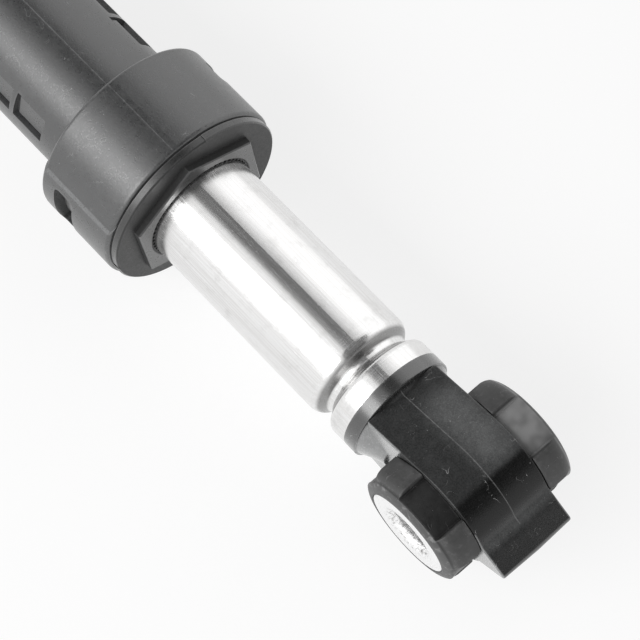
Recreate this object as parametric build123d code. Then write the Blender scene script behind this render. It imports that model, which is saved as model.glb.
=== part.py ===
from build123d import *
from math import asin, atan2, ceil, cos, degrees, hypot, pi, radians, sin, sqrt, tan
import os

# Friction strut of a washing machine, lying on its side, in millimetres.
# The origin is the centre of the housing's pin bore. +X runs along the strut to the rod's eye,
# both pins lie along Y, and +Z is up.

# Lengths along the strut, as drawn
eye_to_eye = 244.0
travel_in = 44.0
travel_out = 44.0
stop_gap = 0.5

# Clearances
running_gap = 0.05
fitted_gap = 0.03
seat_gap = 0.35

# Rod tube, whose radius sets the housing, the rings and the cap
rod_r = 12.5
rod_wall = 1.2
rod_end_to_pin = 22.7
groove_to_pin = 29.2
groove_depth = 2.4
groove_floor = 1.3
groove_slope = 2.0
groove_far_round = 3.0
groove_near_round = 1.6
groove_floor_round = 0.9

# Housing tube
guide_skirt = 0.62
housing_wall = 2.8
housing_end = 20.0
housing_end_wall = 6.0
housing_end_round = 3.5

# Rings in the collar, from its floor to the nut
ring_width = 4.64
bearing_length = 4.5
lining_length = 5.2
lining_split = 0.8
separator_thickness = 1.0
washer_thickness = 1.0

# Flanged hexagon cap
skirt_wall = 1.9
skirt_end_gap = 0.3
flange_inset = 0.3
flange_thickness = 1.7
flange_edge = 0.35
flange_step = 0.2
flange_step_from = 75.6
flange_step_span = 110.0
hex_wall = 2.05
hex_height = 1.7
hex_turn = 33.1
hex_edge = 0.25
nut_bore_gap = 0.55
nut_bore_edge = 0.25
latch_height = 0.9
latch_side_gap = 0.25
latch_slot = 1.4
latch_slot_length = 9.0
latch_half_width = 6.2

# Wiper ring in the nut's bore
wiper_lip = 0.9
wiper_length = 2.2
wiper_back = 1.0
wiper_reach = 0.7
wiper_teeth = 56
wiper_tooth = 0.5
wiper_tooth_share = 0.5

# Collar at the housing's mouth
collar_front = 159.75
collar_length = 21.25
collar_wall = 2.5
collar_pad = 0.4
collar_pad_top = 9.2
collar_pad_slope = 0.7
collar_mould_shift = 0.35
collar_floor_wall = 3.5
collar_edge = 0.9
collar_root = 1.2

# Windows in the collar that hold the nut's latches
window_start = 11.35
window_length = 5.7
left_window_height = 14.6
right_window_height = 18.4
window_corner = 1.2

# Pockets along the housing's sides, counted from the collar back
pocket_first = 7.7
pocket_length = 9.0
pocket_pitch = 10.3
pocket_count = 8
pocket_depth = 1.3
pocket_panel_depth = 0.8
pocket_line = 0.8
pocket_slot = 1.1
pocket_corner = 0.5
left_pocket_low = 3.6
left_pocket_high = 9.2
left_slot_high = 9.4
right_pocket_low = 4.7
right_pocket_high = 9.7
right_slot_high = 10.8

# Moulded cap on the rod's inner end
guide_wall = 3.0
guide_spigot = 9.0
guide_spigot_wall = 2.0
guide_edge = 0.6

# Rubber buffer in the closed end of the housing
bump_length = 9.0
bump_side_gap = 0.15
bump_hole_r = 4.0
bump_edge = 1.5

# Eyes
eye_r = 13.8
eye_wall = 3.3
eye_width = 18.0
eye_draft = 1.5
eye_edge = 0.4
neck_slope = 12.0
neck_flare_r = 23.5
neck_flare_start = 8.0
neck_flare_drop = 0.5
neck_cove = 2.2
neck_cove_inset = 0.5
disc_thickness = 3.1
disc_edge = 0.25
nose_reach = 19.65
nose_round = 1.1
nose_root_angle = 21.0
nose_root_round = 1.6
spigot_length = 30.0
spigot_wall = 2.4
housing_neck_rise = 1.0

# Steel sleeves
sleeve_bore_r = 5.25
sleeve_wall = 1.75
sleeve_flange_lip = 2.8
sleeve_flange = 1.3
sleeve_mouth_round = 1.7
sleeve_edge = 0.3

# Rubber bushes
bush_length = 33.0
bush_shoulder_inset = 0.1
bush_shoulder_round = 3.9
bush_notches = 4
bush_notch_turn = 79.0
bush_notch_angle = 50.5
bush_notch_depth = 1.5
bush_notch_end = 0.95
bush_shoulder_gap = 0.1

# Radii that follow from the sizes above
guide_r = rod_r + fitted_gap + guide_skirt
housing_bore_r = guide_r + running_gap
housing_r = housing_bore_r + housing_wall
skirt_bore_r = rod_r + ring_width + fitted_gap
skirt_r = skirt_bore_r + skirt_wall
collar_bore_r = skirt_r + fitted_gap
collar_r = collar_bore_r + collar_wall
collar_pad_r = collar_r + collar_pad
flange_r = collar_r - flange_inset
nut_bore_r = rod_r + nut_bore_gap
hex_corner_r = (nut_bore_r + hex_wall) * 2 / sqrt(3)
wiper_seat_r = nut_bore_r + wiper_lip
eye_bore_r = eye_r - eye_wall
bush_shoulder_r = eye_r - bush_shoulder_inset
bush_notch_floor_r = bush_shoulder_r - bush_notch_depth
sleeve_r = sleeve_bore_r + sleeve_wall
sleeve_flange_r = sleeve_r + sleeve_flange_lip

# Places that follow from the sizes above
collar_back = collar_front - collar_length
collar_floor = collar_back + collar_floor_wall
bore_floor = housing_end + housing_end_wall
bump_face = bore_floor + bump_length
guide_back = bump_face + travel_in + stop_gap
guide_front = collar_floor - travel_out - stop_gap
rod_tube_start = guide_back + guide_wall
rod_tube_end = eye_to_eye - rod_end_to_pin
nut_back = collar_front + seat_gap
nut_face = nut_back + flange_thickness
hex_face = nut_face + hex_height
wiper_shoulder = hex_face - wiper_back
wiper_start = wiper_shoulder - wiper_length
skirt_end = collar_floor + skirt_end_gap
window_low_x = collar_front - window_start - window_length
pocket_x0 = collar_back - pocket_first

everything = 400.0


def turned_x(points):
    """Solid of revolution about the strut's axis from (x, radius) points."""
    face = Plane.XZ * make_face(Polyline(*points, close=True))
    return revolve(face, Axis.X)


def turned_y(wire):
    """Solid of revolution about a pin's axis from a closed wire in (radius, y)."""
    return revolve(make_face(wire), Axis.Y)


def ring_x(start, end, inner, outer):
    return turned_x([(start, inner), (end, inner), (end, outer), (start, outer)])


def rod_x(start, end, radius):
    return Pos(start, 0, 0) * Rot(0, 90, 0) * Cylinder(
        radius, end - start, align=(Align.CENTER, Align.CENTER, Align.MIN)
    )


def pin_cylinder(radius, length, x=0.0):
    return Pos(x, 0, 0) * Rot(90, 0, 0) * Cylinder(radius, length)


def block(x0, x1, y0, y1, z0, z1):
    centre = Pos((x0 + x1) / 2, (y0 + y1) / 2, (z0 + z1) / 2)
    return centre * Box(x1 - x0, y1 - y0, z1 - z0)


def wedge_x(start, end, angle, span, reach):
    """Sector of a disc about X, from an angle measured from +Y towards +Z."""
    corners = [(0, 0)]
    steps = ceil(span / 30)
    for i in range(steps + 1):
        a = radians(angle + span * i / steps)
        corners.append((reach * cos(a), reach * sin(a)))
    face = Plane.YZ.offset(start) * make_face(Polyline(*corners, close=True))
    return extrude(face, end - start)


def rim_edges(solid, x, radius, slack=0.02):
    """Round edges about the strut's axis at one station and radius."""
    found = solid.edges().filter_by(GeomType.CIRCLE)
    return [e for e in found if abs(e.radius - radius) < slack and abs(e.arc_center.X - x) < slack]


# Eyes

def eye_outline(neck_reach, neck_slope_angle, nose):
    """Side view of an eye about its pin, with the neck towards -X and, if asked, a pointed nose."""
    tangent = radians(90 + neck_slope_angle)
    top = (eye_r * cos(tangent), eye_r * sin(tangent))
    run = top[0] + neck_reach
    neck_z = top[1] - run * tan(radians(neck_slope_angle))
    neck = Polyline(
        (top[0], top[1]), (-neck_reach, neck_z), (-neck_reach, -neck_z), (top[0], -top[1])
    )
    if not nose:
        cap = ThreePointArc((top[0], -top[1]), (eye_r, 0), (top[0], top[1]))
        return make_face(neck + cap)
    root = radians(nose_root_angle)
    root_top = (eye_r * cos(root), eye_r * sin(root))
    crown = radians((90 + neck_slope_angle + nose_root_angle) / 2)
    crown_top = (eye_r * cos(crown), eye_r * sin(crown))
    round_top = ThreePointArc(top, crown_top, root_top)
    round_low = ThreePointArc(
        (root_top[0], -root_top[1]), (crown_top[0], -crown_top[1]), (top[0], -top[1])
    )
    nose_centre = nose_reach - nose_round
    run_x = nose_centre - root_top[0]
    slope = atan2(root_top[1], run_x) - asin(nose_round / hypot(run_x, root_top[1]))
    tip = (nose_centre + nose_round * sin(slope), nose_round * cos(slope))
    nose_line = Polyline(root_top, tip)
    nose_arc = ThreePointArc(tip, (nose_reach, 0), (tip[0], -tip[1]))
    nose_back = Polyline((tip[0], -tip[1]), (root_top[0], -root_top[1]))
    face = make_face(neck + round_top + nose_line + nose_arc + nose_back + round_low)
    corners = [v for v in face.vertices() if abs(v.X - root_top[0]) < 0.01]
    return fillet(corners, nose_root_round)


def eye_body(neck_reach, neck_slope_angle, nose):
    """Eye and flared neck, pin at the origin, neck towards -X, bore not cut yet."""
    half = eye_width / 2
    outline = eye_outline(neck_reach, neck_slope_angle, nose)
    band = extrude(Plane.XZ * outline, eye_r, both=True, taper=eye_draft)
    band &= block(-everything, everything, -half, half, -everything, everything)
    rims = [e for e in band.edges() if abs(abs((e @ 0.5).Y) - half) < 0.001]
    rims = [e for e in rims if abs((e @ 0.5).X + neck_reach) > 0.01]
    band = fillet(rims, eye_edge)
    low_outline = eye_outline(neck_reach + neck_flare_drop, neck_slope_angle, nose)
    band += neck_flare(neck_reach, offset(low_outline, -neck_flare_drop))
    seat = pin_cylinder(bush_shoulder_r + running_gap * 6, everything)
    seat -= block(-everything, everything, -half, half, -everything, everything)
    return band - seat


def neck_flare(neck_reach, outline):
    """Trumpet that widens the neck towards the round end that it grows from."""
    half = eye_width / 2
    reach = neck_reach - neck_flare_start
    growth = neck_flare_r - sqrt(neck_flare_r ** 2 - reach ** 2)
    mid = neck_flare_r - sqrt(neck_flare_r ** 2 - (reach / 2) ** 2)
    start = (-neck_flare_start, half)
    end = (-neck_reach, half + growth)
    bell = ThreePointArc(start, (-neck_flare_start - reach / 2, half + mid), end)
    rest = Polyline(end, (-neck_reach, 0), (-neck_flare_start, 0), start)
    side = extrude(Plane.XZ * outline, eye_r, both=True)
    return side & revolve(Plane.XZ * make_face(bell + rest), Axis.X)


def neck_cove_ring(face):
    """Concave blend from the disc's face down to the neck's roof."""
    top = rod_r - neck_cove_inset
    low = top - neck_cove
    middle = neck_cove * (1 - sqrt(0.5))
    curve = ThreePointArc((face, top), (face + middle, low + middle), (face + neck_cove, low))
    back = face - disc_edge * 2
    rest = Polyline((face + neck_cove, low), (face + neck_cove, 0), (back, 0), (back, top), (face, top))
    return revolve(Plane.XZ * make_face(curve + rest), Axis.X)


def bored(body):
    return body - pin_cylinder(eye_bore_r, everything)


# Housing

def left_pocket(x0, x1):
    """Facet that runs out to the surface above, with a groove along its low edge."""
    far = housing_r * 2
    floor_r = housing_r - pocket_panel_depth
    deepest = (-sqrt(floor_r ** 2 - left_pocket_low ** 2), left_pocket_low)
    runs_out = (-sqrt(housing_r ** 2 - left_pocket_high ** 2), left_pocket_high)
    outline = Polyline((-far, left_pocket_low), deepest, runs_out, (-far, left_pocket_high), close=True)
    facet = extrude(Plane.YZ.offset(x0) * make_face(outline), x1 - x0)
    slot = block(x0, x0 + pocket_slot, -far, -2, left_pocket_low, left_slot_high)
    groove = block(x0, x1, -far, -2, left_pocket_low, left_pocket_low + pocket_line)
    upper = facet + ((slot + groove) - rod_x(x0 - 1, x1 + 1, housing_r - pocket_depth))
    return upper + mirror(upper, Plane.XY)


def side_pockets():
    """Cutters for both rows of pockets, each with a deep slot at its far end."""
    cut = []
    far = housing_r * 2
    deep = rod_x(0, collar_back, housing_r - pocket_depth)
    for i in range(pocket_count):
        x1 = pocket_x0 - i * pocket_pitch
        x0 = x1 - pocket_length
        cut.append(left_pocket(x0, x1))
        facet = block(x0, x1, 2, far, right_pocket_low, right_pocket_high)
        facet = fillet(facet.edges().filter_by(Axis.Y), pocket_corner)
        slot = block(x0, x0 + pocket_slot, 2, far, right_pocket_low, right_slot_high)
        cut.append((facet + slot) - deep)
    return cut


def collar(radius, shift=0.0):
    """Drum at the housing's mouth with both rims rounded, its +Y half moved by the mould's shift."""
    outline = Circle(radius)
    if shift:
        outline += Pos(shift, 0) * Circle(radius)
    drum = extrude(Plane.YZ.offset(collar_back) * outline, collar_length)
    rims = [e for e in drum.edges() if e.geom_type == GeomType.CIRCLE]
    return fillet(rims, collar_edge)


def collar_land():
    """Raised land on the collar's -Y side, its two long edges sloped."""
    half = collar_pad_slope / 2
    outer = (-sqrt(collar_pad_r ** 2 - (collar_pad_top - half) ** 2), collar_pad_top - half)
    inner = (-sqrt(collar_r ** 2 - (collar_pad_top + half) ** 2), collar_pad_top + half)
    slope = (inner[1] - outer[1]) / (inner[0] - outer[0])
    corners = []
    for y in (inner[0] + collar_wall * 2, outer[0] - collar_wall):
        corners.append((y, outer[1] + slope * (y - outer[0])))
    below = [(y, -z) for y, z in reversed(corners)]
    face = Plane.YZ * make_face(Polyline(*corners, *below, close=True))
    return collar(collar_pad_r) & extrude(face, everything)


def housing():
    start = housing_end
    shell = rod_x(start, collar_front - collar_edge * 2, housing_r)
    shell = fillet(rim_edges(shell, start, housing_r), housing_end_round)
    shell = shell + collar(collar_r, collar_mould_shift) + collar_land()
    shell = fillet(rim_edges(shell, collar_back, housing_r), collar_root)
    neck_reach = start + housing_end_round
    neck_angle = degrees(atan2(housing_neck_rise, neck_reach))
    eye = mirror(eye_body(neck_reach, neck_angle, False), Plane.YZ)
    body = shell + eye
    body -= rod_x(bore_floor, collar_floor + 1, housing_bore_r)
    body -= rod_x(collar_floor, collar_front + 1, collar_bore_r)
    body -= side_pockets()
    body -= windows()
    return bored(body)


def windows():
    low, high = window_low_x, window_low_x + window_length
    cuts = []
    for side, height in ((-1, left_window_height), (1, right_window_height)):
        y0, y1 = sorted((side * collar_bore_r * 0.75, side * everything))
        cut = block(low, high, y0, y1, -height / 2, height / 2)
        cuts.append(fillet(cut.edges().filter_by(Axis.Y), window_corner))
    return cuts


# Cap, wiper and the rings behind it

def flange(radius):
    """Flange of the cap with its front rim broken."""
    return turned_x([
        (nut_back, 0), (nut_back, radius), (nut_face - flange_edge, radius),
        (nut_face, radius - flange_edge), (nut_face, 0),
    ])


def gland_nut():
    low_part = wedge_x(nut_back - 1, nut_face + 1, flange_step_from, flange_step_span, flange_r * 2)
    nut = (flange(flange_r) - low_part) + flange(flange_r - flange_step)
    boss = Plane.YZ.offset(nut_back) * RegularPolygon(hex_corner_r, 6, rotation=hex_turn)
    boss = extrude(boss, flange_thickness + hex_height)
    boss = chamfer(boss.edges().group_by(Axis.X)[-1], hex_edge)
    nut += boss
    nut += ring_x(skirt_end, nut_back, skirt_bore_r, skirt_r)
    nut += latches()
    nut -= turned_x([
        (nut_back - 1, 0), (nut_back - 1, wiper_seat_r), (wiper_shoulder, wiper_seat_r),
        (wiper_shoulder, nut_bore_r), (hex_face - nut_bore_edge, nut_bore_r),
        (hex_face, nut_bore_r + nut_bore_edge), (hex_face + 1, nut_bore_r + nut_bore_edge), (hex_face + 1, 0),
    ])
    return nut - latch_slots()


def latches():
    """Two blocks on the skirt that click into the collar's windows."""
    low = window_low_x + latch_side_gap
    high = window_low_x + window_length - latch_side_gap
    reach = skirt_r + latch_height
    ring = ring_x(low, high, skirt_bore_r, reach)
    slope = turned_x([(low, skirt_r), (low + latch_height, reach), (low, reach)])
    ring -= slope
    return ring & block(0, everything, -everything, everything, -latch_half_width, latch_half_width)


def latch_slots():
    """Slots that free the two latch fingers of the skirt."""
    length = latch_slot_length
    cuts = None
    for z in (latch_half_width, -latch_half_width - latch_slot):
        slot = block(skirt_end - 1, skirt_end + length, -everything, everything, z, z + latch_slot)
        cuts = slot if cuts is None else cuts + slot
    return cuts - block(0, everything, -nut_bore_r, nut_bore_r, -everything, everything)


def wiper_ring():
    """Scraper in the nut, with small teeth round its mouth."""
    inner = rod_r + running_gap
    lip_end = wiper_shoulder + wiper_reach
    ring = turned_x([
        (wiper_start, inner), (lip_end, inner), (lip_end, nut_bore_r - fitted_gap),
        (wiper_shoulder - fitted_gap, nut_bore_r - fitted_gap),
        (wiper_shoulder - fitted_gap, wiper_seat_r - fitted_gap), (wiper_start, wiper_seat_r - fitted_gap),
    ])
    width = pi * rod_r / wiper_teeth
    depth = (nut_bore_r - inner) * wiper_tooth_share
    tooth = block(lip_end - wiper_tooth, lip_end + 1, inner - 1, inner + depth, -width / 2, width / 2)
    gaps = [Rot(360 / wiper_teeth * i, 0, 0) * tooth for i in range(wiper_teeth)]
    return ring - gaps


def stack():
    """Stations of the rings in the collar, from the floor outwards."""
    stations = [collar_floor]
    for length in (bearing_length, lining_length, separator_thickness, lining_length, washer_thickness):
        stations.append(stations[-1] + length)
    return stations


def rear_bearing():
    stations = stack()
    return ring_x(stations[0] + fitted_gap, stations[1], rod_r + running_gap, skirt_bore_r - fitted_gap)


def lining(start, end, turn):
    """Grease soaked strip bent to a ring, with its butt joint left open."""
    ring = ring_x(start, end, rod_r + running_gap, skirt_bore_r - fitted_gap)
    split = block(start - 1, end + 1, 0, skirt_r * 2, -lining_split / 2, lining_split / 2)
    return ring - Rot(turn, 0, 0) * split


def washer(start, end):
    return ring_x(start, end, rod_r + running_gap * 2, skirt_bore_r - fitted_gap)


# Rod

def shifted_line(points, distance):
    """Moves a line of points sideways, downwards for a line that runs to +X."""
    moved = []
    for i, (x, r) in enumerate(points):
        before = points[max(i - 1, 0)]
        after = points[min(i + 1, len(points) - 1)]
        first = atan2(r - before[1], x - before[0]) if i else atan2(after[1] - r, after[0] - x)
        second = atan2(after[1] - r, after[0] - x) if i < len(points) - 1 else first
        middle = (first + second) / 2
        scale = distance / cos((second - first) / 2)
        moved.append((x + scale * sin(middle), r - scale * cos(middle)))
    return moved


def groove_points():
    """Outline of the rolled groove, from the tube's inner end to its outer end."""
    centre = eye_to_eye - groove_to_pin
    floor_r = rod_r - groove_depth
    half = groove_floor / 2
    return [
        (rod_tube_start, rod_r), (centre - half - groove_slope, rod_r), (centre - half, floor_r),
        (centre + half, floor_r), (centre + half + groove_slope * 0.8, rod_r), (rod_tube_end, rod_r),
    ]


def groove_line(distance, start, end):
    """The groove's outline moved towards the axis, with its bends rounded to match."""
    points = shifted_line(groove_points(), distance)
    points[0] = (start, points[0][1])
    points[-1] = (end, points[-1][1])
    rounds = (
        groove_far_round - distance, groove_floor_round + distance,
        groove_floor_round + distance, groove_near_round - distance,
    )
    return points, FilletPolyline(*points, radius=rounds)


def rod_tube():
    outer, top = groove_line(0, rod_tube_start, rod_tube_end)
    inner, low = groove_line(rod_wall, rod_tube_start, rod_tube_end)
    ends = Line(outer[0], inner[0]) + Line(outer[-1], inner[-1])
    face = Plane.XZ * make_face(top + low + ends)
    return revolve(face, Axis.X)


def rod_guide():
    """Cap pushed on the rod's inner end: a skirt outside the tube, a wall and a spigot inside."""
    spigot_r = rod_r - rod_wall - fitted_gap
    skirt = ring_x(guide_back, guide_front, rod_r + fitted_gap, guide_r)
    wall = rod_x(guide_back, rod_tube_start, guide_r)
    spigot = ring_x(rod_tube_start, rod_tube_start + guide_spigot, spigot_r - guide_spigot_wall, spigot_r)
    cap = skirt + wall + spigot
    return chamfer(rim_edges(cap, guide_back, guide_r), guide_edge)


def bump_stop():
    outer = housing_bore_r - bump_side_gap
    stop = ring_x(bore_floor + fitted_gap, bump_face, bump_hole_r, outer)
    return chamfer(rim_edges(stop, bump_face, outer), bump_edge)


def rod_eye():
    """Disc, neck, eye and nose with the spigot that the rolled groove locks."""
    neck_reach = rod_end_to_pin - disc_thickness
    disc_start = eye_to_eye - rod_end_to_pin
    body = Pos(eye_to_eye, 0, 0) * eye_body(neck_reach, neck_slope, True)
    disc = rod_x(disc_start + fitted_gap, disc_start + disc_thickness, rod_r)
    disc = fillet(rim_edges(disc, disc_start + disc_thickness, rod_r), disc_edge)
    cove = neck_cove_ring(disc_start + disc_thickness)
    body = body + disc + cove + spigot_body(disc_start)
    return body - pin_cylinder(eye_bore_r, everything, eye_to_eye)


def spigot_body(disc_start):
    """Hollow spigot inside the tube, with the groove that the tube is rolled into."""
    start = disc_start - spigot_length
    outer, line = groove_line(rod_wall + fitted_gap, start, disc_start + 1)
    hollow = rod_r - groove_depth - rod_wall - spigot_wall
    floor = disc_start - disc_thickness
    rest = Polyline(
        outer[-1], (disc_start + 1, 0), (floor, 0), (floor, hollow), (start, hollow), outer[0]
    )
    return revolve(Plane.XZ * make_face(line + rest), Axis.X)


# Bushes and sleeves, drawn about a pin at the origin

def bush():
    half = bush_length / 2
    seat_y = eye_width / 2 + bush_shoulder_gap
    inner = sleeve_r + running_gap
    flange_inner = half - sleeve_flange - running_gap
    lip_r = sleeve_flange_r + running_gap
    body_r = eye_bore_r - fitted_gap
    solid = turned_y(Polyline(
        (inner, -flange_inner), (lip_r, -flange_inner), (lip_r, -half), (bush_shoulder_r, -half),
        (bush_shoulder_r, -seat_y), (body_r, -seat_y), (body_r, seat_y), (bush_shoulder_r, seat_y),
        (bush_shoulder_r, half), (lip_r, half), (lip_r, flange_inner), (inner, flange_inner), close=True,
    ))
    corners = [
        e for e in solid.edges().filter_by(GeomType.CIRCLE)
        if abs(e.radius - bush_shoulder_r) < 0.01 and abs(abs(e.arc_center.Y) - half) < 0.01
    ]
    solid = fillet(corners, min(bush_shoulder_round, bush_shoulder_r - lip_r - 0.02))
    return solid - notch_cutters(seat_y, half)


def notch_cutters(seat_y, half):
    cutters = []
    half_width = bush_shoulder_r * sin(radians(bush_notch_angle / 2))
    for side in (-1, 1):
        y0, y1 = sorted((side * (seat_y - 0.2), side * (half - bush_notch_end)))
        tool = block(0, everything, y0, y1, -half_width, half_width)
        tool -= pin_cylinder(bush_notch_floor_r, everything)
        for i in range(bush_notches):
            cutters.append(Rot(0, -(bush_notch_turn + 360 / bush_notches * i), 0) * tool)
    return cutters


def sleeve():
    """Tube with both ends rolled outwards to a flange."""
    half = bush_length / 2
    inner_y = half - sleeve_flange
    solid = turned_y(Polyline(
        (sleeve_bore_r, -half), (sleeve_flange_r, -half), (sleeve_flange_r, -inner_y), (sleeve_r, -inner_y),
        (sleeve_r, inner_y), (sleeve_flange_r, inner_y), (sleeve_flange_r, half), (sleeve_bore_r, half), close=True,
    ))
    ends = [e for e in solid.edges().filter_by(GeomType.CIRCLE) if abs(abs(e.arc_center.Y) - half) < 0.01]
    solid = fillet([e for e in ends if e.radius > sleeve_r], sleeve_edge)
    ends = [e for e in solid.edges().filter_by(GeomType.CIRCLE) if abs(e.radius - sleeve_bore_r) < 0.01]
    return fillet(ends, sleeve_mouth_round)


def build():
    stations = stack()
    return {
        "housing": housing(),
        "gland_nut": gland_nut(),
        "wiper_ring": wiper_ring(),
        "rear_bearing": rear_bearing(),
        "rear_lining": lining(stations[1], stations[2], 90),
        "lining_separator": washer(stations[2], stations[3]),
        "front_lining": lining(stations[3], stations[4], 270),
        "lining_washer": washer(stations[4], stations[5]),
        "bump_stop": bump_stop(),
        "housing_bush": bush(),
        "housing_sleeve": sleeve(),
        "rod_tube": rod_tube(),
        "rod_guide": rod_guide(),
        "rod_eye": rod_eye(),
        "rod_bush": Pos(eye_to_eye, 0, 0) * bush(),
        "rod_sleeve": Pos(eye_to_eye, 0, 0) * sleeve(),
    }


os.makedirs("parts", exist_ok=True)
for name, solid in build().items():
    export_step(solid, "parts/" + name + ".step")
    print(name, round(solid.volume, 1), "mm3")
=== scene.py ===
import math
import bpy
import numpy as np
from mathutils import Matrix, Vector


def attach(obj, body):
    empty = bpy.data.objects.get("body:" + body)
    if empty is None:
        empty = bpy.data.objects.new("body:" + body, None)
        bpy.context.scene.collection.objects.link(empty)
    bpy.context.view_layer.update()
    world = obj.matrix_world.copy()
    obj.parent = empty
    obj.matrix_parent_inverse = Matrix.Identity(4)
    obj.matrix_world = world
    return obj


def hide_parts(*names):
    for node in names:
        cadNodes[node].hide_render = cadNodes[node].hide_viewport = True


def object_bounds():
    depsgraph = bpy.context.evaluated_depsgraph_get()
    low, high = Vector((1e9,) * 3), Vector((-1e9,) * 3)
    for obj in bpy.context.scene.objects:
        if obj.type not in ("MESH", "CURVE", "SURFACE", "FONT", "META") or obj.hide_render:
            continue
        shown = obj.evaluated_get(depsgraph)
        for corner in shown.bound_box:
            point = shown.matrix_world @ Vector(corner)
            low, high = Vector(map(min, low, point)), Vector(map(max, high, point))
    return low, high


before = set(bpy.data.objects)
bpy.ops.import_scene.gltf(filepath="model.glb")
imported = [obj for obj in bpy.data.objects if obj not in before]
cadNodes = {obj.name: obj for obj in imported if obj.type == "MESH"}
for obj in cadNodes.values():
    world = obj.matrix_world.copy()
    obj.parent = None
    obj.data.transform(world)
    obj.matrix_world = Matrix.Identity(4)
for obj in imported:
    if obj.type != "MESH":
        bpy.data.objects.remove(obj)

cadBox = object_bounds()
scene = bpy.context.scene
mm = 0.001

# Places of the two pins along the strut, in millimetres
housingPin = 0.0
rodPin = 244.0


# Node helpers. A value that is a socket is linked, anything else is set on the input.

def feed(tree, node, inputs):
    for key, value in inputs.items():
        if isinstance(value, bpy.types.NodeSocket):
            tree.links.new(value, node.inputs[key])
        else:
            node.inputs[key].default_value = value


def addNode(tree, kind, inputs=None, **settings):
    node = tree.nodes.new(kind)
    for key, value in settings.items():
        setattr(node, key, value)
    feed(tree, node, inputs or {})
    return node


def calc(tree, operation, a, b=0.0, c=0.0, clamp=False):
    node = addNode(tree, "ShaderNodeMath", {0: a, 1: b, 2: c}, operation=operation, use_clamp=clamp)
    return node.outputs[0]


def product(tree, first, *others):
    for value in others:
        first = calc(tree, "MULTIPLY", first, value)
    return first


def total(tree, first, *others):
    for value in others:
        first = calc(tree, "ADD", first, value)
    return first


def difference(tree, a, b):
    return calc(tree, "SUBTRACT", a, b)


def hypotenuse(tree, a, b):
    return calc(tree, "SQRT", total(tree, product(tree, a, a), product(tree, b, b)))


def remap(tree, value, low, high, newLow=0.0, newHigh=1.0, smooth=True):
    kind = "SMOOTHSTEP" if smooth else "LINEAR"
    inputs = {
        "Value": value, "From Min": low, "From Max": high, "To Min": newLow, "To Max": newHigh,
    }
    return addNode(tree, "ShaderNodeMapRange", inputs, interpolation_type=kind).outputs["Result"]


def noise(tree, vector, scale, detail=2.0, rough=0.5, distortion=0.0):
    inputs = {
        "Vector": vector, "Scale": scale, "Detail": detail,
        "Roughness": rough, "Distortion": distortion,
    }
    return addNode(tree, "ShaderNodeTexNoise", inputs).outputs["Fac"]


def vectorMath(tree, operation, a, b):
    return addNode(tree, "ShaderNodeVectorMath", {0: a, 1: b}, operation=operation).outputs[0]


def stretched(tree, vector, scale):
    return vectorMath(tree, "MULTIPLY", vector, scale)


def mixed(tree, factor, first, second, blend="MIX"):
    inputs = {0: factor, 6: first, 7: second}
    return addNode(tree, "ShaderNodeMix", inputs, data_type="RGBA", blend_type=blend).outputs[2]


def separate(tree, vector):
    return addNode(tree, "ShaderNodeSeparateXYZ", {0: vector}).outputs


def grey(level, tint=(1.0, 1.0, 1.0)):
    return (level * tint[0], level * tint[1], level * tint[2], 1.0)


def newGroup(name, inputs, outputs):
    tree = bpy.data.node_groups.new(name, "ShaderNodeTree")
    for label, kind, value in inputs:
        socket = tree.interface.new_socket(label, in_out="INPUT", socket_type=kind)
        if value is not None:
            socket.default_value = value
    for label, kind in outputs:
        tree.interface.new_socket(label, in_out="OUTPUT", socket_type=kind)
    return tree, tree.nodes.new("NodeGroupInput").outputs, tree.nodes.new("NodeGroupOutput").inputs


def placeGroup(tree, group, inputs):
    node = tree.nodes.new("ShaderNodeGroup")
    node.node_tree = group
    feed(tree, node, inputs)
    return node.outputs


# Object coordinates in millimetres, and the distance from the strut's axis
def makeMillimetres():
    tree, given, result = newGroup(
        "millimetres", [], [("Place", "NodeSocketVector"), ("Radius", "NodeSocketFloat")],
    )
    metres = addNode(tree, "ShaderNodeTexCoord").outputs["Object"]
    inputs = {0: metres, "Scale": 1.0 / mm}
    place = addNode(tree, "ShaderNodeVectorMath", inputs, operation="SCALE").outputs[0]
    x, y, z = separate(tree, place)
    tree.links.new(place, result["Place"])
    tree.links.new(hypotenuse(tree, y, z), result["Radius"])
    return tree


# Specks: cells in a millimetre, speck size, share of empty cells. Hairs: scale and offset.
dustShape = {
    "specks": ((0.55, 0.07, 0.8), (1.3, 0.085, 0.72)), "speckCore": 0.4,
    "hairs": ((0.16, 3.7), (0.23, 11.3)), "hairWidth": (0.0024, 0.0008), "hairEnds": (0.66, 0.7),
    "hairBend": 1.6,
}


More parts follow.
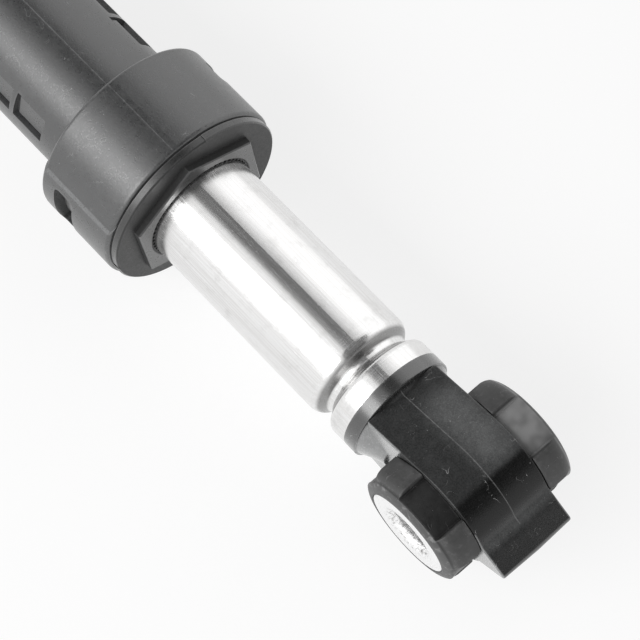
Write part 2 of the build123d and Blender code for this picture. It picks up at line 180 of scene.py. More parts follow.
# Specks of dust and short hairs of lint, as one mask
def makeDust(s):
    tree, given, result = newGroup(
        "dust",
        [("Place", "NodeSocketVector", None), ("Specks", "NodeSocketFloat", 0.5),
         ("Hairs", "NodeSocketFloat", 0.5)],
        [("Mask", "NodeSocketFloat")],
    )
    place = given["Place"]
    layers = []
    for scale, size, empty in s["specks"]:
        inputs = {"Vector": place, "Scale": scale, "Randomness": 1.0}
        cells = addNode(tree, "ShaderNodeTexVoronoi", inputs).outputs
        chance = addNode(tree, "ShaderNodeSeparateColor", {0: cells["Color"]}).outputs[0]
        dot = remap(tree, cells["Distance"], size, size * s["speckCore"])
        limit = difference(tree, 1.0, product(tree, given["Specks"], 1.0 - empty))
        layers.append(product(tree, dot, calc(tree, "GREATER_THAN", chance, limit)))
    for scale, offset in s["hairs"]:
        moved = vectorMath(tree, "ADD", place, (offset, offset * 2.0, offset * 0.5))
        wander = noise(tree, moved, scale, 1.0, 0.4, s["hairBend"])
        line = calc(tree, "ABSOLUTE", difference(tree, wander, 0.5))
        line = remap(tree, line, *s["hairWidth"])
        piece = remap(tree, noise(tree, moved, scale * 1.7, 0.0), *s["hairEnds"])
        layers.append(product(tree, line, piece, given["Hairs"]))
    mask = 0.0
    for layer in layers:
        mask = calc(tree, "MAXIMUM", mask, layer)
    tree.links.new(mask, result["Mask"])
    return tree


# Each layer: scale, detail and roughness. Shares: of the fine layer in Height, the broad in Tone.
grainShape = {
    "fine": (2.0, 0.7), "middle": (0.9, 2.0, 0.55), "broad": (0.35, 3.0, 0.6),
    "fineShare": 0.88, "broadShare": 0.6,
}


# Fine moulded or worn texture: a height for bump, and a slow change of tone
def makeGrain(s):
    tree, given, result = newGroup(
        "grain",
        [("Place", "NodeSocketVector", None), ("Size", "NodeSocketFloat", 3.0)],
        [("Height", "NodeSocketFloat"), ("Tone", "NodeSocketFloat")],
    )
    place = given["Place"]
    fine = noise(tree, place, given["Size"], *s["fine"])
    broad = noise(tree, place, *s["broad"])
    middle = noise(tree, place, *s["middle"])
    blends = (("Height", fine, s["fineShare"]), ("Tone", broad, s["broadShare"]))
    for output, layer, share in blends:
        both = total(tree, product(tree, layer, share), product(tree, middle, 1.0 - share))
        tree.links.new(both, result[output])
    return tree


# Masks of outer edges, for wear and painted highlight, and of grooves, for painted shade, from how
# much solid or air lies close by
def makeCreases():
    tree, given, result = newGroup(
        "creases",
        [("Place", "NodeSocketVector", None), ("Edge Reach", "NodeSocketFloat", 0.0005),
         ("Groove Reach", "NodeSocketFloat", 0.001)],
        [("Edge", "NodeSocketFloat"), ("Groove", "NodeSocketFloat")],
    )
    kind = "ShaderNodeAmbientOcclusion"
    inputs = {"Distance": given["Edge Reach"]}
    solid = addNode(tree, kind, inputs, samples=6, inside=True, only_local=True).outputs["AO"]
    inputs = {"Distance": given["Groove Reach"]}
    air = addNode(tree, kind, inputs, samples=6, only_local=False).outputs["AO"]
    uneven = remap(tree, noise(tree, given["Place"], 1.2, 3.0, 0.65), 0.3, 0.65, 0.35, 1.0)
    tree.links.new(product(tree, remap(tree, solid, 0.92, 0.6), uneven), result["Edge"])
    tree.links.new(remap(tree, air, 0.75, 0.3), result["Groove"])
    return tree


millimetres = makeMillimetres()
dust = makeDust(dustShape)
grain = makeGrain(grainShape)
creases = makeCreases()


# How far a value is inside a range, as a soft mask
def between(tree, value, low, high, soft):
    rise = remap(tree, value, low - soft, low + soft)
    return product(tree, rise, remap(tree, value, high + soft, high - soft))


# The same for a box of ranges in x, y, z and radius
def zoneMask(tree, parts, radius, zone):
    values = {"x": parts[0], "y": parts[1], "z": parts[2], "r": radius}
    ranges = [(values[key], zone[key]) for key in values if key in zone]
    masks = [between(tree, value, low, high, zone["soft"]) for value, (low, high) in ranges]
    return product(tree, *masks)


def newMaterial(name, **constants):
    material = bpy.data.materials.new(name)
    material.use_nodes = True
    tree = material.node_tree
    tree.nodes.clear()
    output = tree.nodes.new("ShaderNodeOutputMaterial")
    shader = tree.nodes.new("ShaderNodeBsdfPrincipled")
    tree.links.new(shader.outputs[0], output.inputs[0])
    for key, value in constants.items():
        shader.inputs[key.replace("_", " ")].default_value = value
    return material, tree, shader


# The last steps of every material: colour, roughness and bump
def finishMaterial(tree, shader, colour, rough, height, depth):
    tree.links.new(colour, shader.inputs["Base Color"])
    tree.links.new(rough, shader.inputs["Roughness"])
    inputs = {"Height": height, "Distance": depth * mm, "Strength": 1.0}
    bump = addNode(tree, "ShaderNodeBump", inputs)
    tree.links.new(bump.outputs[0], shader.inputs["Normal"])


def addDust(tree, place, colour, s):
    inputs = {"Place": place, "Specks": s["specks"], "Hairs": s["hairs"]}
    specks = placeGroup(tree, dust, inputs)["Mask"]
    strength = product(tree, specks, s["dustStrength"])
    return mixed(tree, strength, colour, grey(s["dustLevel"])), specks


# Paler edges, partly wear and partly painted highlight, then dust, then painted shade darkening the
# grooves
def addWearAndPaintedLight(tree, place, colour, s):
    reach = {"Edge Reach": s["edgeReach"] * mm, "Groove Reach": s["grooveReach"] * mm}
    creaseMasks = placeGroup(tree, creases, {"Place": place} | reach)
    # Painted edge highlight, partly wear: the outer edges made paler
    edge = product(tree, creaseMasks["Edge"], s["edgeWearAndHighlightStrength"])
    colour = mixed(tree, edge, colour, grey(s["edgeWearAndHighlightLevel"]))
    colour, specks = addDust(tree, place, colour, s)
    # Painted shade: the grooves darkened nearly to black
    grooveShade = product(tree, creaseMasks["Groove"], s["grooveShadeStrength"])
    return mixed(tree, grooveShade, colour, grey(s["grooveShadeLevel"])), specks, creaseMasks["Groove"]


# Numbers that all the plastics share. Pairs are ranges of a noise or mask.
plasticShape = {
    "mottleRange": (0.35, 0.68), "flowStretch": (0.05, 1.2, 1.2), "flowRange": (0.5, 0.75),
    "flowStrength": 0.35, "pitRange": (0.5, 0.68), "pitStrength": 0.35, "pitGain": 2.2,
    "seamFade": 0.4, "seamCore": 0.35, "seamHeight": 1.5, "dustLevel": 0.55,
    # Painted shade in the grooves: its strength and level
    "grooveShadeStrength": 0.9, "grooveShadeLevel": 0.002, "sheenRough": 0.4,
    "roughDown": 0.02, "roughUp": 0.03, "roughGrain": 0.07, "roughDust": 0.2, "roughGroove": 0.5,
}


# A parting line: a broken stripe along the piece at one y, between two ends in x
def seamLine(tree, place, parts, seam):
    low, high = seam["x"]
    fade = plasticShape["seamFade"]
    off = calc(tree, "ABSOLUTE", difference(tree, parts[1], seam["y"]))
    line = remap(tree, off, seam["width"], seam["width"] * plasticShape["seamCore"])
    starts = remap(tree, parts[0], low, low + fade)
    ends = remap(tree, parts[0], high, high - fade)
    broken = remap(tree, noise(tree, place, 0.8, 3.0, 0.7), 0.3, 0.6, 0.35, 1.0)
    return product(tree, line, starts, ends, product(tree, broken, seam["strength"]))


# The coat of gloss: each zone's own weight in its mask, and none in grooves
def coatWeight(tree, masks, groove, s):
    coat = s["coat"]
    for mask, zone in zip(masks, s["zones"]):
        kept = product(tree, difference(tree, 1.0, mask), coat)
        coat = total(tree, kept, product(tree, mask, zone["coat"]))
    return product(tree, coat, difference(tree, 1.0, groove))


# Glass filled plastic: soft grain, dust, parting lines, paler edges (wear and painted highlight),
# painted shade in grooves, zones of painted light and shade
def makePlastic(name, settings):
    s = plasticShape | settings
    material, tree, shader = newMaterial(
        name, Specular_IOR_Level=s["specular"], IOR=s["ior"], Coat_Roughness=s["coatRough"],
        Coat_IOR=s["coatIor"], Sheen_Weight=s["sheen"], Sheen_Roughness=s["sheenRough"],
    )
    here = placeGroup(tree, millimetres, {})
    place = here["Place"]
    parts = separate(tree, place)
    texture = placeGroup(tree, grain, {"Place": place, "Size": s["grainSize"]})
    tone, height = texture["Tone"], texture["Height"]
    mottle = remap(tree, tone, *s["mottleRange"])

    def mottled(level):
        return mixed(tree, mottle, grey(level, s["tint"]), grey(level * s["mottle"], s["tint"]))

    flow = noise(tree, stretched(tree, place, s["flowStretch"]), 1.0, 2.0, 0.5)
    flow = product(tree, remap(tree, flow, *s["flowRange"]), s["flowStrength"])
    colour = mixed(tree, flow, mottled(s["level"]), grey(s["level"] * s["mottle"], s["tint"]))
    masks = [zoneMask(tree, parts, here["Radius"], zone) for zone in s["zones"]]
    zoneRough = 0.0
    # Each zone paints light and shade in its own colour, and adds its roughness
    for mask, zone in zip(masks, s["zones"]):
        colour = mixed(tree, product(tree, mask, zone["strength"]), colour, mottled(zone["level"]))
        zoneRough = total(tree, zoneRough, product(tree, mask, zone["rough"]))
    pits = product(tree, remap(tree, height, *s["pitRange"]), s["pitStrength"])
    colour = mixed(tree, pits, colour, grey(s["pitGain"]), blend="MULTIPLY")
    raised = height
    for seam in s["seams"]:
        line = seamLine(tree, place, parts, seam)
        colour = mixed(tree, line, colour, grey(s["seamLevel"]))
        raised = total(tree, raised, product(tree, line, s["seamHeight"]))
    colour, specks, groove = addWearAndPaintedLight(tree, place, colour, s)
    if max([s["coat"]] + [zone["coat"] for zone in s["zones"]]) > 0.0:
        tree.links.new(coatWeight(tree, masks, groove, s), shader.inputs["Coat Weight"])
    span = s["roughGrain"]
    rough = total(
        tree,
        remap(tree, tone, 0.3, 0.7, s["rough"] - s["roughDown"], s["rough"] + s["roughUp"]),
        product(tree, specks, s["roughDust"]),
        zoneRough,
        remap(tree, height, 0.35, 0.65, -span, span, smooth=False),
    )
    rough = calc(tree, "ADD", rough, product(tree, groove, s["roughGroove"]), clamp=True)
    finishMaterial(tree, shader, colour, rough, raised, s["bump"])
    return material


# Rubber of the bushes and the wiper. Lengths along y and from the pin in millimetres.
rubberLook = {
    "level": 0.042, "mottle": 1.5, "rough": 0.5, "roughSpan": 0.08, "specular": 0.5,
    "grainSize": 4.0, "bump": 0.03,
    "rimY": (13.6, 15.8), "rimAway": (9.5, 11.0), "rimGain": 2.6, "rimStrength": 0.5,
    "rub": 0.12, "rimRub": 0.55, "rubLevel": 0.3,
    # Notches: painted shade in all of them, a painted highlight on the floors of the far ones
    "notches": 1.0, "notchAway": (13.0, 12.5), "notchY": (15.75, 15.45), "notchShadeGain": 0.25,
    "notchShadeStrength": 0.9, "notchRough": 0.12,
    "notchHighlightY": (8.0, 9.5), "notchHighlightLevel": 0.3, "notchHighlightStrength": 0.85,
    # Edges paler with wear and a painted highlight; painted shade in the grooves
    "edgeReach": 0.5, "edgeWearAndHighlightStrength": 0.35, "edgeWearAndHighlightLevel": 0.14,
    "grooveReach": 1.0, "grooveShadeStrength": 0.8, "grooveShadeLevel": 0.002,
    "specks": 0.9, "hairs": 0.8, "dustStrength": 0.55, "dustLevel": 0.5,
}
wiperLook = rubberLook | {"level": 0.012, "notches": 0.0}


# Rubber: matte, blotched, with painted shade in the notches and a painted highlight on the far
# ones, whitish where it rubs
def makeRubber(name, pinX, s):
    material, tree, shader = newMaterial(name, Specular_IOR_Level=s["specular"])
    place = placeGroup(tree, millimetres, {})["Place"]
    texture = placeGroup(tree, grain, {"Place": place, "Size": s["grainSize"]})
    tone = texture["Tone"]
    x, y, z = separate(tree, place)
    away = hypotenuse(tree, difference(tree, x, pinX), z)
    side = calc(tree, "ABSOLUTE", y)
    level = s["level"]
    colour = mixed(tree, remap(tree, tone, 0.35, 0.7), grey(level), grey(level * s["mottle"]))
    rub = remap(tree, noise(tree, place, 0.55, 4.0, 0.65), 0.5, 0.72)
    rim = product(tree, remap(tree, side, *s["rimY"]), remap(tree, away, *s["rimAway"]))
    rub = product(tree, rub, total(tree, s["rub"], product(tree, rim, s["rimRub"])))
    paler = product(tree, rim, s["rimStrength"])
    colour = mixed(tree, paler, colour, grey(level * s["rimGain"]))
    colour = mixed(tree, rub, colour, grey(s["rubLevel"]))
    notch = product(tree, remap(tree, away, *s["notchAway"]), remap(tree, side, *s["notchY"]))
    notch = product(tree, notch, s["notches"])
    uneven = remap(tree, noise(tree, place, 0.16, 2.0, 0.5), 0.3, 0.6, 0.4, 1.0)
    # Painted highlight on the notch floors of the +y side
    notchHighlight = product(tree, notch, remap(tree, y, *s["notchHighlightY"]), uneven)
    # Painted shade in every notch
    notchShade = product(tree, notch, s["notchShadeStrength"])
    colour = mixed(tree, notchShade, colour, grey(level * s["notchShadeGain"]))
    notchHighlight = product(tree, notchHighlight, s["notchHighlightStrength"])
    colour = mixed(tree, notchHighlight, colour, grey(s["notchHighlightLevel"]))
    colour = addWearAndPaintedLight(tree, place, colour, s)[0]
    span = s["roughSpan"]
    rough = remap(tree, tone, 0.3, 0.7, s["rough"] - span, s["rough"] + span)
    rough = difference(tree, rough, product(tree, notch, s["notchRough"]))
    finishMaterial(tree, shader, colour, rough, texture["Height"], s["bump"])
    return material


# Rod: places along it in millimetres. Painted shade darkens the groove between its floor and the
# tube's skin, more on its near flank.
rodLook = {
    "dark": grey(0.74, (1.0, 0.99, 0.98)), "light": grey(0.86),
    "cloud": grey(0.52, (1.0, 0.99, 0.97)), "cloudStrength": 0.3,
    "specks": 0.8, "hairs": 0.3, "dustStrength": 0.35, "dustLevel": 0.35,
    "formed": (208.0, 210.5), "grooveStart": (208.0, 210.0), "grooveEnd": (220.0, 219.0),
    "skin": (12.25, 11.6), "floor": (10.1, 10.6), "flanks": (214.0, 215.5, 0.7, 0.45),
    "grooveShadeColour": grey(0.10, (1.0, 0.99, 0.97)), "scratchLevel": 0.95, "scratchStrength": 0.5,
    "rough": (0.17, 0.27), "scratchRough": 0.25, "ringRough": 0.08, "ringHeight": 1.2,
    "bump": 0.004,
}


# Drawn tube: streaks along it, faint rings where it is rolled, and fine scratches
def makeRodSteel(name, s):
    material, tree, shader = newMaterial(name, Metallic=1.0)
    here = placeGroup(tree, millimetres, {})
    place, radius = here["Place"], here["Radius"]
    along = separate(tree, place)[0]
    streaks = noise(tree, stretched(tree, place, (0.03, 2.4, 2.4)), 1.0, 4.0, 0.6)
    fineStreaks = noise(tree, stretched(tree, place, (0.06, 9.0, 9.0)), 1.0, 3.0, 0.6)
    cloud = noise(tree, place, 0.3, 4.0, 0.6)
    rings = noise(tree, stretched(tree, place, (3.0, 0.05, 0.05)), 1.0, 2.0, 0.6)
    formed = remap(tree, along, *s["formed"])
    tone = total(tree, product(tree, streaks, 0.5), product(tree, fineStreaks, 0.5))
    colour = mixed(tree, remap(tree, tone, 0.35, 0.65), s["dark"], s["light"])
    clouded = product(tree, remap(tree, cloud, 0.5, 0.75), s["cloudStrength"])
    colour = mixed(tree, clouded, colour, s["cloud"])
    colour = addDust(tree, place, colour, s)[0]
    # Painted shade on the flanks of the rolled groove, darker on its near flank
    grooveFlankShade = product(
        tree, remap(tree, radius, *s["skin"]), remap(tree, radius, *s["floor"]),
        remap(tree, along, *s["grooveStart"]), remap(tree, along, *s["grooveEnd"]),
        remap(tree, along, *s["flanks"]),
    )
    colour = mixed(tree, grooveFlankShade, colour, s["grooveShadeColour"])
    scratched = noise(tree, stretched(tree, place, (0.5, 7.0, 7.0)), 1.0, 2.0, 0.5, 0.8)
    scratched = product(tree, remap(tree, scratched, 0.66, 0.72), remap(tree, cloud, 0.42, 0.6))
    scratch = product(tree, scratched, s["scratchStrength"])
    colour = mixed(tree, scratch, colour, grey(s["scratchLevel"]))
    ringed = product(tree, remap(tree, rings, 0.4, 0.7), formed, s["ringRough"])
    rough = remap(tree, tone, 0.3, 0.7, *s["rough"])
    rough = total(tree, rough, product(tree, scratched, s["scratchRough"]), ringed)
    ringHeight = product(tree, rings, formed, s["ringHeight"])
    height = total(tree, product(tree, fineStreaks, 0.6), ringHeight)
    finishMaterial(tree, shader, colour, rough, height, s["bump"])
    return material


# Sleeves: mouth is the range of distance from the pin over which the bore's look begins
sleeveLook = {
    "mouth": (7.4, 5.6), "rim": grey(0.86), "bore": grey(0.58, (1.0, 0.99, 0.98)),
    "boreSpots": 0.93, "light": 0.95, "scratchTurns": (0.4, 1.3, 2.3), "scratchLevel": 0.96,
    "scratchStrength": 0.5, "stain": grey(0.12, (1.0, 0.98, 0.96)), "stainStrength": 0.7,
    "rough": (0.26, 0.40), "boreRough": 0.05, "bump": 0.015,
}


# Zinc plated sleeve: mottled, scratched in all directions, stained inside its mouth
def makeSleeveSteel(name, pinX, s):
    material, tree, shader = newMaterial(name, Metallic=1.0)
    place = placeGroup(tree, millimetres, {})["Place"]
    x, y, z = separate(tree, place)
    away = hypotenuse(tree, difference(tree, x, pinX), z)
    mottle = noise(tree, place, 1.1, 5.0, 0.7, 0.6)
    scratches = 0.0
    for turn in s["scratchTurns"]:
        inputs = {"Vector": place, "Angle": turn}
        turned = addNode(tree, "ShaderNodeVectorRotate", inputs, rotation_type="Y_AXIS").outputs[0]
        lines = noise(tree, stretched(tree, turned, (0.35, 1.0, 9.0)), 1.0, 2.0, 0.5)
        scratches = calc(tree, "MAXIMUM", scratches, remap(tree, lines, 0.62, 0.7))
    inBore = remap(tree, away, *s["mouth"])
    light = mixed(tree, inBore, s["rim"], s["bore"])
    spots = product(tree, inBore, remap(tree, mottle, 0.5, 0.38))
    light = mixed(tree, spots, grey(s["boreSpots"]), light)
    colour = mixed(tree, remap(tree, mottle, 0.36, 0.6), light, grey(s["light"]))
    scratch = product(tree, scratches, s["scratchStrength"])
    colour = mixed(tree, scratch, colour, grey(s["scratchLevel"]))
    stains = remap(tree, noise(tree, place, 1.4, 4.0, 0.7), 0.54, 0.64)
    stains = product(tree, inBore, stains, s["stainStrength"])
    colour = mixed(tree, stains, colour, s["stain"])
    rough = remap(tree, mottle, 0.3, 0.7, *s["rough"])
    rough = total(tree, rough, product(tree, inBore, s["boreRough"]))
    height = total(tree, product(tree, mottle, 0.7), product(tree, scratches, -0.5))
    finishMaterial(tree, shader, colour, rough, height, s["bump"])
    return material


foamLook = {
    "cells": 2.2, "skin": grey(0.34, (1.0, 0.82, 0.5)), "pore": grey(0.14, (1.0, 0.8, 0.5)),
    "grease": grey(0.2, (1.0, 0.85, 0.6)), "rough": (0.75, 0.45), "specular": 0.35, "bump": 0.15,
}


# Greased open foam of the friction linings
def makeFoam(name, s):
    material, tree, shader = newMaterial(name, Specular_IOR_Level=s["specular"])
    place = placeGroup(tree, millimetres, {})["Place"]
    inputs = {"Vector": place, "Scale": s["cells"]}
    cells = addNode(tree, "ShaderNodeTexVoronoi", inputs, feature="SMOOTH_F1").outputs
    pores = remap(tree, cells["Distance"], 0.1, 0.5)
    patches = noise(tree, place, 0.4, 3.0, 0.6)
    colour = mixed(tree, pores, s["skin"], s["pore"])
    colour = mixed(tree, remap(tree, patches, 0.45, 0.7), colour, s["grease"])
    rough = remap(tree, patches, 0.4, 0.7, *s["rough"])
    finishMaterial(tree, shader, colour, rough, difference(tree, 1.0, pores), s["bump"])
    return material


# Plastics. Reaches, seams and zones are in millimetres; a zone has its own colour and gloss,
# painted light and shade on that part of the piece.
housingLook = {
    "level": 0.028, "tint": (0.97, 1.0, 1.02), "mottle": 1.25, "rough": 0.33,
    "specular": 1.0, "ior": 1.6, "coat": 0.0, "coatRough": 0.3, "coatIor": 1.5, "sheen": 0.35,
    "grainSize": 3.0, "bump": 0.036, "specks": 1.0, "hairs": 1.0, "dustStrength": 0.5,
    "edgeReach": 0.5, "edgeWearAndHighlightStrength": 0.5, "edgeWearAndHighlightLevel": 0.13, "grooveReach": 0.6,
    "seamLevel": 0.22,
    "seams": [
        {"y": 0.0, "width": 0.14, "x": (24.0, 137.8), "strength": 0.4},
        {"y": -1.2, "width": 0.12, "x": (139.0, 159.4), "strength": 0.3},
    ],
    "zones": [
        # Painted highlight along the edge of the collar's pad
        {"x": (139.4, 159.0), "y": (-21.0, -18.9), "z": (8.85, 9.5), "r": (21.6, 22.5),
         "soft": 0.12, "level": 0.11, "strength": 0.6, "coat": 0.0, "rough": 0.0},
    ],
}
nutLook = {
    "level": 0.010, "tint": (0.98, 1.0, 1.0), "mottle": 1.2, "rough": 0.32,
    "specular": 0.5, "ior": 1.6, "coat": 0.55, "coatRough": 0.3, "coatIor": 1.5, "sheen": 0.1,
    "grainSize": 2.4, "bump": 0.025, "specks": 0.8, "hairs": 0.5, "dustStrength": 0.45,
    "edgeReach": 0.35, "edgeWearAndHighlightStrength": 0.6, "edgeWearAndHighlightLevel": 0.16, "grooveReach": 1.0,
    "seamLevel": 0.2, "seams": [],
    "zones": [
        # Painted shade on the sides of the hexagon, then the flange's face, a little darker and
        # rougher
        {"x": (161.9, 163.25),
         "soft": 0.1, "level": 0.004, "strength": 1.0, "coat": 0.0, "rough": 0.35},
        {"x": (161.4, 161.86), "r": (14.0, 21.0),
         "soft": 0.04, "level": 0.008, "strength": 1.0, "coat": 0.0, "rough": 0.2},
    ],
}
eyeLook = {
    "level": 0.009, "tint": (0.98, 1.0, 1.0), "mottle": 1.3, "rough": 0.29,
    "specular": 0.25, "ior": 1.6, "coat": 1.0, "coatRough": 0.24, "coatIor": 1.9, "sheen": 0.1,
    "grainSize": 3.0, "bump": 0.035, "specks": 1.6, "hairs": 1.3, "dustStrength": 0.6,
    "edgeReach": 0.45, "edgeWearAndHighlightStrength": 0.6, "edgeWearAndHighlightLevel": 0.15, "grooveReach": 1.2,
    "seamLevel": 0.22, "seams": [{"y": 0.0, "width": 0.14, "x": (224.4, 258.5), "strength": 0.6}],
    "zones": [
        # Painted light and shade on the eye: the upper face lighter, a painted highlight on its
        # right half, painted shade on the slope before the nose, and a painted highlight at the
        # nose's root
        {"x": (224.6, 290.0), "y": (-9.6, 9.6), "z": (3.0, 30.0),
         "soft": 0.6, "level": 0.028, "strength": 1.0, "coat": 0.0, "rough": 0.0},
        {"x": (230.0, 249.0), "y": (0.5, 8.6), "z": (6.0, 30.0),
         "soft": 3.0, "level": 0.095, "strength": 0.9, "coat": 0.1, "rough": 0.0},
        {"x": (249.5, 256.2), "z": (3.0, 30.0),
         "soft": 0.8, "level": 0.003, "strength": 1.0, "coat": 0.0, "rough": 0.0},
        {"x": (256.9, 258.6), "z": (1.0, 7.0),
         "soft": 0.9, "level": 0.07, "strength": 0.85, "coat": 0.1, "rough": 0.0},
        # Painted reflection of the pale floor on the -y side walls before and behind the bush,
        # which are also glossier
        {"x": (224.4, 234.0), "y": (-14.0, -8.7),
         "soft": 0.25, "level": 0.22, "strength": 0.8, "coat": 1.0, "rough": -0.08},
        {"x": (255.0, 264.0), "y": (-14.0, -8.7),
         "soft": 0.25, "level": 0.22, "strength": 0.8, "coat": 1.0, "rough": -0.08},
    ],
}
bearingLook = {
    "level": 0.66, "tint": (1.0, 0.99, 0.94), "mottle": 0.9, "rough": 0.42,
    "specular": 0.5, "ior": 1.5, "coat": 0.0, "coatRough": 0.3, "coatIor": 1.5, "sheen": 0.0,
    "grainSize": 3.0, "bump": 0.012, "specks": 0.2, "hairs": 0.0, "dustStrength": 0.2,
    "edgeReach": 0.3, "edgeWearAndHighlightStrength": 0.2, "edgeWearAndHighlightLevel": 0.75, "grooveReach": 0.6,
    "seamLevel": 0.5, "seams": [], "zones": [],
}

bearingPlastic = makePlastic("bearingPlastic", bearingLook)
liningFoam = makeFoam("liningFoam", foamLook)
rodBushRubber = makeRubber("rodBushRubber", rodPin, rubberLook)
housingBushRubber = makeRubber("housingBushRubber", housingPin, rubberLook)
dressing = {
    "housing": makePlastic("housingPlastic", housingLook),
    "gland_nut": makePlastic("nutPlastic", nutLook),
    "rod_eye": makePlastic("eyePlastic", eyeLook),
    "wiper_ring": makeRubber("wiperRubber", rodPin, wiperLook),
    "rod_tube": makeRodSteel("rodSteel", rodLook),
    "rod_sleeve": makeSleeveSteel("rodSleeveSteel", rodPin, sleeveLook),
    "housing_sleeve": makeSleeveSteel("housingSleeveSteel", housingPin, sleeveLook),
    "bump_stop": housingBushRubber,
    "rear_lining": liningFoam, "front_lining": liningFoam,
    "rear_bearing": bearingPlastic, "lining_separator": bearingPlastic,
    "lining_washer": bearingPlastic, "rod_guide": bearingPlastic,
}
for name, material in dressing.items():
    for entry in cadNodes[name].material_slots:
        entry.material = material
print("stage: materials on", len(dressing), "nodes")


# Rubber bushes. Lengths and radii in millimetres, turns in degrees about the pin.

bushShape = {
    "half": 16.5, "seat": 9.1, "shoulder": 13.7, "bodyRadius": 10.47, "inner": 7.05, "lip": 9.85,
    "flangeInner": 15.15, "boreStep": 4.0, "notchFloor": 12.2, "notchEnd": 15.55, "notchTurn": 79.0,
    "notchAngle": 50.5, "notches": 4, "edge": 0.3,
    "turns": 180, "edgeTurns": 13, "edgeSpan": 0.035,
    "step": 0.28, "mostSteps": 12, "denseFrom": 12.1,
}


# A step from 0 to 1 across a width, smooth at both ends: 3 t squared less 2 t cubed
def smoothStep(values, start, width):
    t = np.clip((values - start) / width + 0.5, 0.0, 1.0)
    return t * t * (3.0 - 2.0 * t)


def meshPiece(name, vertices, quads, material, body):
    mesh = bpy.data.meshes.new(name)
    mesh.vertices.add(len(vertices))
    mesh.vertices.foreach_set("co", np.asarray(vertices, np.float32).ravel())
    mesh.loops.add(quads.size)
    mesh.loops.foreach_set("vertex_index", quads.astype(np.int32).ravel())
    mesh.polygons.add(len(quads))
    mesh.polygons.foreach_set("loop_start", np.arange(0, quads.size, 4, dtype=np.int32))
    mesh.update(calc_edges=True)
    mesh.shade_smooth()
    mesh.validate()
    piece = bpy.data.objects.new(name, mesh)
    scene.collection.objects.link(piece)
    mesh.materials.append(material)
    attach(piece, body)
    return piece


# Closed outline of the bush in length and radius. Its outer corners are quarter circles.
def bushOutline(s):
    crown = s["shoulder"] - s["lip"] - 0.02
    turn = np.linspace(0.0, math.pi / 2, 15)
    start = s["half"] - crown
    along, outward = np.array([1, 0]), np.array([0, 1])
    seat, shoulder, flange = s["seat"], s["shoulder"], s["flangeInner"]
    side = np.concatenate([
        np.linspace(0.0, seat - 0.4, 5)[:, None] * along + s["bodyRadius"] * outward,
        [[seat - 0.08, s["bodyRadius"]], [seat, s["bodyRadius"] + 0.1], [seat, shoulder - 1.0]],
        [[seat, shoulder - 0.2], [seat + 0.08, shoulder - 0.06], [seat + 0.25, shoulder]],
        np.linspace(seat + 0.6, start - 0.1, 5)[:, None] * along + shoulder * outward,
        np.stack([start + crown * np.sin(turn), shoulder - crown + crown * np.cos(turn)], 1),
        [[s["half"] - 0.05, s["lip"]], [flange, s["lip"]], [flange, s["inner"] + 0.05]],
        [[flange - 0.05, s["inner"]], [flange - s["boreStep"], s["inner"]]],
    ])
    other = side[::-1] * [-1, 1]
    return np.concatenate([side, other[:-1]])


# The outline with more points on its outer lengths, where the notches cut in
def denseOutline(s):
    ends = bushOutline(s)
    points = []
    for a, b in zip(ends, np.roll(ends, -1, 0)):
        outer = a[1] > s["denseFrom"] and b[1] > s["denseFrom"]
        steps = int(round(np.hypot(*(b - a)) / s["step"])) if outer else 1
        steps = min(s["mostSteps"], max(1, steps))
        points.append(a + (b - a) * np.linspace(0.0, 1.0, steps, endpoint=False)[:, None])
    return np.concatenate(points)


# Length and radius of the outline, turned about the pin. Inside a notch the radius is pressed
# down to the notch's floor by a smooth step over the angle times one over the length.
def makeBush(name, pinX, body, material, node, s):
    y, r = denseOutline(s).T
    angles = [np.linspace(0.0, 2 * math.pi, s["turns"], endpoint=False)]
    halfTurn = math.radians(s["notchAngle"]) / 2
    middles = [math.radians(s["notchTurn"] + 360.0 / s["notches"] * i) for i in range(s["notches"])]
    for middle in middles:
        for edge in (middle - halfTurn, middle + halfTurn):
            angles.append(edge + np.linspace(-s["edgeSpan"], s["edgeSpan"], s["edgeTurns"]))
    angles = np.unique(np.round(np.mod(np.concatenate(angles), 2 * math.pi), 5))
    inNotch = np.zeros(len(angles))
    for middle in middles:
        off = np.abs((angles - middle + math.pi) % (2 * math.pi) - math.pi)
        inNotch = np.maximum(inNotch, 1.0 - smoothStep(off, halfTurn, s["edge"] / s["shoulder"]))
    lengthwise = 1.0 - smoothStep(np.abs(y), s["notchEnd"], s["edge"])
    drop = np.maximum(r - s["notchFloor"], 0.0) * lengthwise
    radius = r[None, :] - inNotch[:, None] * drop[None, :]
    x = pinX + radius * np.cos(angles)[:, None]
    z = radius * np.sin(angles)[:, None]
    grid = np.stack([x, np.broadcast_to(y, x.shape), z], 2) * mm
    index = np.arange(x.size).reshape(x.shape)
    down, right = np.roll(index, -1, 0), np.roll(index, -1, 1)
    quads = np.stack([index, right, np.roll(right, -1, 0), down], 2).reshape(-1, 4)
    piece = meshPiece(name, grid.reshape(-1, 3), quads, material, body)
    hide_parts(node)
    print("stage:", name, len(quads), "faces")


makeBush("rod_bush_rubber", rodPin, "rod_body", rodBushRubber, "rod_bush", bushShape)
makeBush(
    "housing_bush_rubber", housingPin, "housing_body", housingBushRubber, "housing_bush", bushShape,
)


# Floor, lamps and camera. Lengths in metres from here on.

def newTree(holder):
    holder.use_nodes = True
    holder.node_tree.nodes.clear()
    return holder.node_tree


# Flat piece of the studio
def stagePiece(name, corners, faces, material):
    mesh = bpy.data.meshes.new(name)
    mesh.from_pydata(corners, [], faces)
    mesh.materials.append(material)
    piece = bpy.data.objects.new(name, mesh)
    scene.collection.objects.link(piece)
    return piece


# What the camera and glossy rays see of the floor glows, and other rays meet plain paint
floorShape = {"extent": 6.0, "below": 0.0002, "level": 0.86, "shownLevel": 0.25, "added": 0.78}

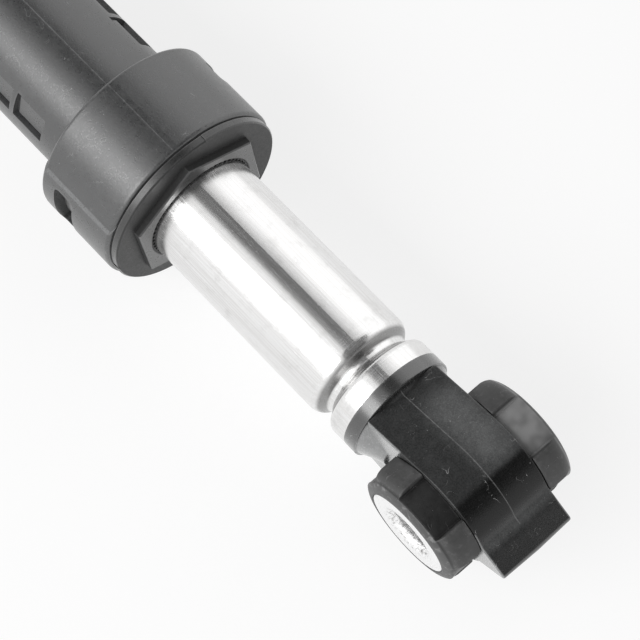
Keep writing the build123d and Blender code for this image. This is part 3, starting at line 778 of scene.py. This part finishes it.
material = bpy.data.materials.new("paleFloor")
tree = newTree(material)
output = tree.nodes.new("ShaderNodeOutputMaterial")
plain = addNode(tree, "ShaderNodeBsdfDiffuse", {"Color": grey(floorShape["level"])})
shown = addNode(tree, "ShaderNodeBsdfDiffuse", {"Color": grey(floorShape["shownLevel"])})
glow = addNode(tree, "ShaderNodeEmission", {"Color": grey(1.0), "Strength": floorShape["added"]})
path = addNode(tree, "ShaderNodeLightPath").outputs
both = addNode(tree, "ShaderNodeAddShader", {0: shown.outputs[0], 1: glow.outputs[0]})
seen = calc(tree, "MAXIMUM", path["Is Camera Ray"], path["Is Glossy Ray"])
inputs = {0: seen, 1: plain.outputs[0], 2: both.outputs[0]}
chosen = addNode(tree, "ShaderNodeMixShader", inputs)
tree.links.new(chosen.outputs[0], output.inputs[0])
extent = floorShape["extent"]
floorZ = cadBox[0][2] - floorShape["below"]
corners = [(x * extent, y * extent, floorZ) for x, y in ((-1, -1), (1, -1), (1, 1), (-1, 1))]
stagePiece("studio_floor", corners, [(0, 1, 2, 3)], material)

# White room, half as strong where it only lights
roomStrength = {"lighting": 0.5, "shown": 1.0}

scene.world = bpy.data.worlds.new("paleRoom")
tree = newTree(scene.world)
output = tree.nodes.new("ShaderNodeOutputWorld")
path = addNode(tree, "ShaderNodeLightPath").outputs
seen = calc(tree, "MAXIMUM", path["Is Glossy Ray"], path["Is Transmission Ray"])
seen = calc(tree, "MAXIMUM", path["Is Camera Ray"], seen)
span = (roomStrength["lighting"], roomStrength["shown"])
strength = remap(tree, seen, 0.0, 1.0, *span, smooth=False)
background = addNode(tree, "ShaderNodeBackground", {"Color": grey(1.0), "Strength": strength})
tree.links.new(background.outputs[0], output.inputs[0])

target = Vector((0.2, 0.0, 0.0))


# Rectangular lamp at a turn about the strut's axis (from +Y towards +Z), facing the object.
# Its energy is radiance times area times pi.
def addLamp(name, turn, distance, width, length, radiance):
    a = math.radians(turn)
    back = Vector((0.0, math.cos(a), math.sin(a)))
    across = Vector((1.0, 0.0, 0.0))
    data = bpy.data.lights.new(name, "AREA")
    data.shape = "RECTANGLE"
    data.size, data.size_y = length, width
    data.energy = radiance * width * length * math.pi
    lamp = bpy.data.objects.new(name, data)
    scene.collection.objects.link(lamp)
    facing = Matrix((across, back.cross(across), back)).transposed().to_4x4()
    lamp.matrix_world = Matrix.Translation(target + back * distance) @ facing


addLamp("left_softbox", 139.0, 1.2, 0.64, 1.5, 3.3)
addLamp("right_softbox", 28.0, 1.3, 1.3, 1.6, 0.3)

# Dark strip overhead between the two lamps, wider towards the housing's end. Each end has its
# place along the strut and the two turns that it reaches, as the lamps have.
cardShape = {
    "height": 0.95, "glow": 0.16,
    "ends": ((2.6, 40.0, 120.0), (0.25, 50.0, 112.0), (0.0, 70.0, 100.0), (-0.4, 70.0, 100.0),
             (-1.8, 52.0, 108.0)),
}
material = bpy.data.materials.new("darkCard")
tree = newTree(material)
output = tree.nodes.new("ShaderNodeOutputMaterial")
glow = addNode(tree, "ShaderNodeEmission", {"Color": grey(1.0), "Strength": cardShape["glow"]})
tree.links.new(glow.outputs[0], output.inputs[0])
corners = []
for along, low, high in cardShape["ends"]:
    for turn in (low, high):
        spread = cardShape["height"] / math.tan(math.radians(turn))
        corners.append(tuple(target + Vector((along, spread, cardShape["height"]))))
strips = [(i, i + 1, i + 3, i + 2) for i in range(0, len(corners) - 2, 2)]
card = stagePiece("overhead_card", corners, strips, material)
card.visible_camera = False
card.visible_shadow = False

# Camera, fitted to the photo: where it stands, and its rightward, upward and backward directions
cameraShape = {
    "lens": 142.5, "sensor": 36.0, "clip": (0.01, 50.0), "place": (0.360443, -0.11275, 0.47046),
    "directions": (
        (0.66590186, 0.74446778, -0.04839886),
        (-0.6756066, 0.62928106, 0.38413679),
        (0.31643395, -0.22309881, 0.92200677),
    ),
}
cameraData = bpy.data.cameras.new("camera")
cameraData.lens = cameraShape["lens"]
cameraData.sensor_width = cameraShape["sensor"]
cameraData.clip_start, cameraData.clip_end = cameraShape["clip"]
camera = bpy.data.objects.new("camera", cameraData)
scene.collection.objects.link(camera)
facing = Matrix(cameraShape["directions"]).transposed().to_4x4()
camera.matrix_world = Matrix.Translation(cameraShape["place"]) @ facing
scene.camera = camera

scene.view_settings.view_transform = "Standard"
print("stage: floor, lamps and camera")
